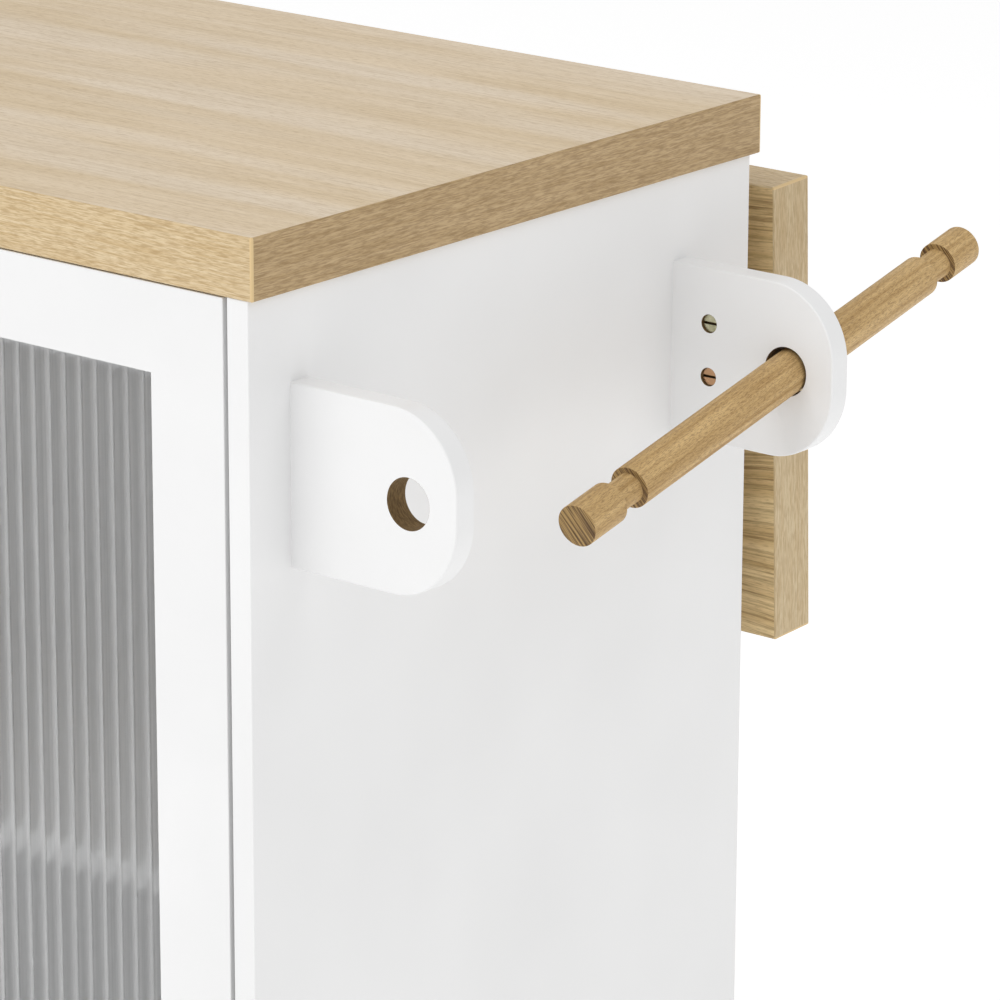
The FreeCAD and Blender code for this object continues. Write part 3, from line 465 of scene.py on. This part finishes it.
# ---- surfaces from numpy arrays ----
def skin(name, grid, material, attributes=None, sharp=35.0, loop=False):
    # quads between neighbouring stations of grid[station, point, xyz]; a loop joins the last station to
    # the first, and otherwise a fan to its middle closes each end
    count, around = grid.shape[:2]
    index = np.arange(count * around).reshape(count, around)
    index = np.vstack([index, index[:1]]) if loop else index
    beside = np.roll(index, -1, axis=1)
    quads = np.stack([index[:-1], beside[:-1], beside[1:], index[1:]], -1).reshape(-1, 4)
    points, fans = grid.reshape(-1, 3), np.empty((0, 3), int)
    if not loop:
        points = np.vstack([points, grid[0].mean(0), grid[-1].mean(0)])
        first, last = (np.full(around, len(points) - back) for back in (2, 1))
        fans = np.vstack([np.stack([beside[0], index[0], first], -1),
                          np.stack([index[-1], beside[-1], last], -1)])
    tris = np.vstack([quads[:, :3], quads[:, [0, 2, 3]], fans])
    a, b, c = (points[tris[:, i]] - points.mean(0) for i in range(3))
    if np.einsum("ij,ij->i", a, np.cross(b, c)).sum() < 0:
        quads, fans = quads[:, ::-1], fans[:, ::-1]
    mesh = bpy.data.meshes.new(name)
    mesh.from_pydata(points.tolist(), [], quads.tolist() + fans.tolist())
    mesh.polygons.foreach_set("use_smooth", np.ones(len(mesh.polygons), bool))
    mesh.set_sharp_from_angle(angle=math.radians(sharp))
    for key, values in (attributes or {}).items():
        flat = values.reshape(count * around, -1)
        if not loop:
            flat = np.vstack([flat, values[0].mean(0).reshape(1, -1), values[-1].mean(0).reshape(1, -1)])
        kind, part = ("FLOAT_VECTOR", "vector") if flat.shape[1] == 3 else ("FLOAT", "value")
        mesh.attributes.new(key, kind, "POINT").data.foreach_set(part, flat.astype(np.float32).ravel())
    mesh.materials.append(material)
    piece = bpy.data.objects.new(name, mesh)
    bpy.context.scene.collection.objects.link(piece)
    return piece


def turned(name, profile, origin, axis, material, segments=96, grainTurn=0.0, loop=False):
    # a lathe shape: point(t, u) = origin + along(t) axis + radius(t) (cos u one + sin u two)
    axis = np.array(axis, float) / np.linalg.norm(axis)
    helper = np.array([0.0, 0.0, 1.0]) if abs(axis[2]) < 0.9 else np.array([1.0, 0.0, 0.0])
    one = np.cross(helper, axis) / np.linalg.norm(np.cross(helper, axis))
    two = np.cross(axis, one)
    angle = np.linspace(0, 2 * math.pi, segments, endpoint=False)
    ring = np.cos(angle)[:, None] * one + np.sin(angle)[:, None] * two
    along, radius = profile[:, :1], profile[:, 1:]
    grid = np.array(origin) + along[..., None] * axis + radius[..., None] * ring
    side = angle + grainTurn
    grain = np.stack([radius * np.cos(side), radius * np.sin(side), np.repeat(along, segments, 1)], -1)
    rise, run = np.gradient(profile[:, 1]), np.gradient(profile[:, 0])
    steep = np.abs(rise) / np.maximum(np.hypot(rise, run), 1e-9)
    endFace = np.repeat(np.clip((steep - 0.6) / 0.3, 0, 1)[:, None], segments, 1)
    return skin(name, grid, material, {"grain": grain, "endFace": endFace}, loop=loop)


def eased(points, radius, steps=4):
    # every inner corner c of a profile, with a and b at radius before and after it, becomes the curve
    # (1 - t)^2 a + 2 t (1 - t) c + t^2 b
    points = np.array(points, float)
    before, corner, after = points[:-2, None], points[1:-1, None], points[2:, None]
    back, ahead = before - corner, after - corner
    backLong, aheadLong = (np.linalg.norm(v, axis=2, keepdims=True) for v in (back, ahead))
    near = np.minimum(radius, np.minimum(backLong, aheadLong) / 2)
    a, b = corner + back / backLong * near, corner + ahead / aheadLong * near
    t = np.linspace(0, 1, steps)[None, :, None]
    curves = (1 - t) ** 2 * a + 2 * t * (1 - t) * corner + t ** 2 * b
    return np.vstack([points[:1], curves.reshape(-1, 2), points[-1:]])


# ---- towel bar: one turned beech rod with a groove near each end ----
towelBar = {
    "length": 405 * mm, "radius": 12.4 * mm, "nearCap": 33 * mm, "farCap": 27.5 * mm,
    "groove": 18 * mm, "neck": 8.8 * mm, "bevel": 2.2 * mm, "ease": 0.5 * mm, "core": 0.2 * mm,
}


def makeTowelBar(b, material):
    # from the near end: cap, slanting shoulder, neck, square shoulder, long middle, and the same again
    half, r, neck = b["length"] / 2, b["radius"], b["neck"]
    near, far = b["nearCap"], b["length"] - b["farCap"]
    nearGroove, farGroove = near + b["groove"], far - b["groove"]
    profile = np.array([
        (0, b["core"]), (0, r), (near - b["bevel"], r), (near, neck), (nearGroove, neck), (nearGroove, r),
        (farGroove - b["bevel"], r), (farGroove, neck), (far, neck), (far, r), (b["length"], r),
        (b["length"], b["core"])])
    profile[:, 0] -= half
    piece = turned("turnedTowelBar", eased(profile, b["ease"]), middleOf("towel_bar"),
                   -Vector(joints["bar_slide"]["axis"]), material, 128, 0.6)
    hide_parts("towel_bar")
    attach(piece, "bar")


# ---- fluted panes ----
pane = {"count": 33, "rise": 1.8 * mm, "samples": 16}


def makePane(side, p, material):
    # front face: low + rise (2 s - 1)^2 over each flute's own share s, close to a shallow arc
    low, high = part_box("fluted_pane_" + side)
    steps = p["count"] * p["samples"] + 1
    share = np.linspace(0, p["count"], steps) % 1.0
    front = low.y + p["rise"] * (2 * share - 1) ** 2
    grid = np.empty((steps, 4, 3))
    grid[:, :, 0] = np.linspace(low.x, high.x, steps)[:, None]
    grid[:, 0, 1:] = np.stack([front, np.full(steps, low.z)], -1)
    grid[:, 1, 1:] = np.stack([front, np.full(steps, high.z)], -1)
    grid[:, 2, 1:] = (high.y, high.z)
    grid[:, 3, 1:] = (high.y, low.z)
    piece = skin("flutedPane_" + side, grid, material, sharp=50.0)
    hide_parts("fluted_pane_" + side)
    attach(piece, "door_" + side)


# ---- door knobs: foot, narrow waist and domed head ----
knob = {
    "along": (0.0, 0.04, 0.2, 0.36, 0.52, 0.68, 0.8, 0.92, 0.985, 1.0), "tall": 25 * mm,
    "radius": (7.6, 8.0, 7.2, 6.5, 10.0, 14.0, 15.0, 13.4, 9.6, 0.2), "steps": 60, "core": 0.2 * mm,
}


def makeKnob(side, k, material):
    # a cubic Hermite curve through the turned sizes, with slopes from their neighbours
    low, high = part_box("door_knob_" + side)
    sizes = np.stack([np.array(k["along"]) * k["tall"], np.array(k["radius"]) * mm], -1)
    slopes = np.gradient(sizes, axis=0)
    t = np.linspace(0, len(sizes) - 1, k["steps"])
    index = np.minimum(t.astype(int), len(sizes) - 2)
    s = (t - index)[:, None]
    curve = ((2 * s ** 3 - 3 * s ** 2 + 1) * sizes[index] + (s ** 3 - 2 * s ** 2 + s) * slopes[index]
             + (3 * s ** 2 - 2 * s ** 3) * sizes[index + 1] + (s ** 3 - s ** 2) * slopes[index + 1])
    curve = np.clip(curve, (0, k["core"]), (k["tall"], max(k["radius"]) * mm))
    profile = np.vstack([[0.0, k["core"]], curve])
    origin = ((low.x + high.x) / 2, high.y, (low.z + high.z) / 2)
    piece = turned("turnedKnob_" + side, profile, origin, (0, -1, 0), material, 64, 0.3)
    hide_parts("door_knob_" + side)
    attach(piece, "door_" + side)


# ---- castor wheels: a rounded tyre on a moulded hub whose boss runs on the axle ----
wheel = {
    "tyre": {"outer": 25 * mm, "inner": 16.8 * mm, "half": 10 * mm, "power": 0.55, "steps": 48},
    "hub": [(-11.5, 4.1), (-11.5, 7.9), (-5.6, 8.4), (-5.6, 15.4), (-7.6, 17.2), (7.6, 17.2), (5.6, 15.4),
            (5.6, 8.4), (11.5, 7.9), (11.5, 4.1)],
    "ease": 0.6 * mm, "segments": 72,
}


def makeWheel(corner, w, tyreFinish, hubFinish):
    # tyre section: a superellipse, (half c|c|^(p-1), middle + rise s|s|^(p-1)) with c = cos t, s = sin t
    t = w["tyre"]
    angle = np.linspace(0, 2 * math.pi, t["steps"], endpoint=False)
    c, s = (np.sign(v) * np.abs(v) ** t["power"] for v in (np.cos(angle), np.sin(angle)))
    middle, rise = (t["outer"] + t["inner"]) / 2, (t["outer"] - t["inner"]) / 2
    section = np.stack([t["half"] * c, middle + rise * s], -1)
    hub = np.array(w["hub"]) * mm
    hub = eased(np.vstack([hub[-1:], hub, hub[:1]]), w["ease"])[1:-1]
    for name, profile, finish, slot in (("castorTyre_", section, tyreFinish, "grey_tyre"),
                                        ("castorHub_", hub, hubFinish, "grey_plastic")):
        piece = turned(name + corner, profile, middleOf("castor_wheel_" + corner), (1, 0, 0), finish,
                       w["segments"], loop=True)
        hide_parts("castor_wheel_" + corner)
        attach(piece, "wheel_" + corner)


print("frame loaded")
makeCamera(cameraSet)
centre = (cadBox[0] + cadBox[1]) / 2
for lampName in ("key", "fill"):
    makeLight(lampName, lightSet[lampName], centre)
world = bpy.data.worlds.new("studio")
world.use_nodes = True
world.node_tree.nodes["Background"].inputs["Color"].default_value = (1, 1, 1, 1)
world.node_tree.nodes["Background"].inputs["Strength"].default_value = lightSet["sky"]
bpy.context.scene.world = world
bpy.context.scene.view_settings.view_transform = "Standard"
makeFloor(floorSet)
print("camera, lights and floor made")

finishes = {slot: metalFinish(values) for slot, values in metals.items()}
finishes.update({slot: plasticFinish(values) for slot, values in plastics.items()})
finishes["white_board"] = whiteMelamine(melamine)
finishes["white_lacquer"] = whiteLacquer("whiteLacqueredDoor", lacquer)
for node in nodes.values():
    slot = node.data.materials[0].name.split(".")[0]
    if slot in finishes:
        node.material_slots[0].material = finishes[slot]
foldAngle = math.radians(joints["leaf_fold"]["range_deg"][1])
for name, values in boards.items():
    nodes[name].material_slots[0].material = oakFoil(name, values, foldAngle)
for place in ("front", "rear"):
    name = "towel_bracket_" + place
    finish = whiteLacquer("whiteLacqueredBracket_" + place, lacquer, name)
    nodes[name].material_slots[0].material = finish
print("finishes put on the CAD pieces")

beechFinish = turnedBeech()
makeTowelBar(towelBar, beechFinish)
acrylic = flutedAcrylic(acrylicSet)
for side in sides:
    makePane(side, pane, acrylic)
    makeKnob(side, knob, beechFinish)
for corner in corners:
    makeWheel(corner, wheel, finishes["grey_tyre"], finishes["grey_plastic"])
print("turned, fluted and moulded pieces made")
